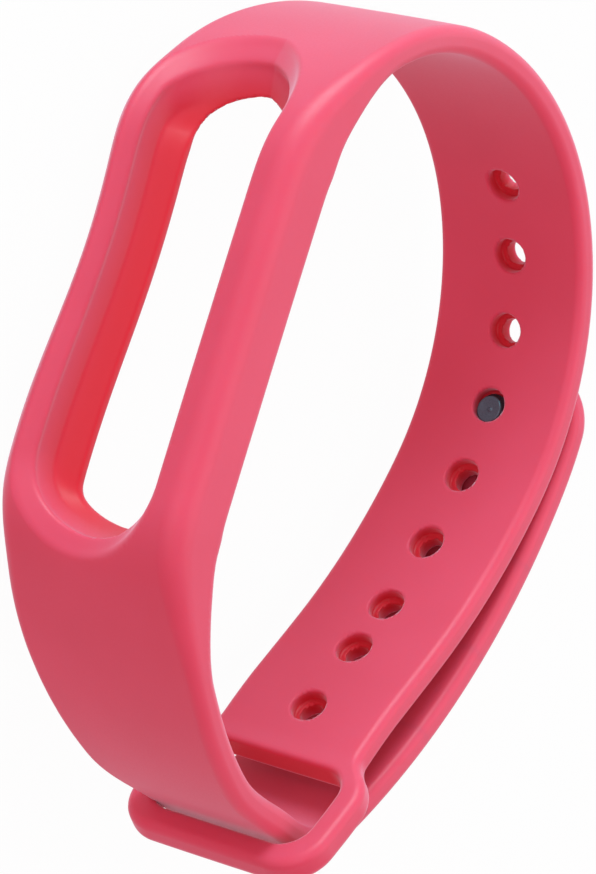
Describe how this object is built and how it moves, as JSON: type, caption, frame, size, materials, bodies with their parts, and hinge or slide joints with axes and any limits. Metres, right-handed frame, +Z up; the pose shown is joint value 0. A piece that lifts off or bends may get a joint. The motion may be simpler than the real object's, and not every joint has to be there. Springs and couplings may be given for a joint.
{
  "type": "fitness tracker band",
  "caption": "Silicone wristband for a pebble-shaped fitness tracker: slotted keeper loop, perforated arm, and a tongue whose metal stud buttons through one of the holes.",
  "frame": {"origin": "middle of the wrist opening, at the level of the lower edge the band stands on", "axes": "+Z up along the axis of the ring, -Y towards the tracker frame, +X towards the keeper loop"},
  "size_m": [0.0705, 0.0526, 0.0208],
  "materials": {
    "silicone": "satin silicone, coral pink",
    "stud_metal": "dark blue-grey anodised"
  },
  "bodies": {
    "strap_ring": {"tracker_frame": "silicone", "rear_shoulder": "silicone", "hole_arm": "silicone", "keeper_loop": "silicone", "front_arm": "silicone"},
    "tongue_1": {"tongue_link_1": "silicone"},
    "tongue_2": {"tongue_link_2": "silicone"},
    "tongue_3": {"tongue_link_3": "silicone"},
    "tongue_4": {"tongue_link_4": "silicone"},
    "tongue_5": {"tongue_link_5": "silicone"},
    "stud": {"stud_cap": "stud_metal", "stud_pin": "stud_metal"}
  },
  "joints": [
    {"name": "tongue_peel", "type": "hinge", "parent": "strap_ring", "child": "tongue_1", "pos_m": [0.03295, 0.00793, 0.0104], "axis": [0, 0, -1], "range_deg": [0, 22], "stiffness_Nm_per_rad": 0.004},
    {"name": "tongue_bend_2", "type": "hinge", "parent": "tongue_1", "child": "tongue_2", "pos_m": [0.02632, 0.01396, 0.0104], "axis": [0, 0, -1], "range_deg": [0, 22], "stiffness_Nm_per_rad": 0.004},
    {"name": "tongue_bend_3", "type": "hinge", "parent": "tongue_2", "child": "tongue_3", "pos_m": [0.01871, 0.01874, 0.0104], "axis": [0, 0, -1], "range_deg": [0, 22], "stiffness_Nm_per_rad": 0.004},
    {"name": "tongue_bend_4", "type": "hinge", "parent": "tongue_3", "child": "tongue_4", "pos_m": [0.01047, 0.02234, 0.0104], "axis": [0, 0, -1], "range_deg": [0, 22], "stiffness_Nm_per_rad": 0.004},
    {"name": "tongue_bend_5", "type": "hinge", "parent": "tongue_4", "child": "tongue_5", "pos_m": [0.00179, 0.02469, 0.0104], "axis": [0, 0, -1], "range_deg": [0, 22], "stiffness_Nm_per_rad": 0.004},
    {"name": "stud_spin", "type": "hinge", "parent": "tongue_5", "child": "stud", "pos_m": [-0.0064, 0.025, 0.0104], "axis": [0.0034, 1, 0], "continuous": true}
  ],
  "couplings": [
    {"joint": "tongue_bend_2", "follows": "tongue_peel", "ratio": 1},
    {"joint": "tongue_bend_3", "follows": "tongue_peel", "ratio": 1},
    {"joint": "tongue_bend_4", "follows": "tongue_peel", "ratio": 1},
    {"joint": "tongue_bend_5", "follows": "tongue_peel", "ratio": 1}
  ]
}
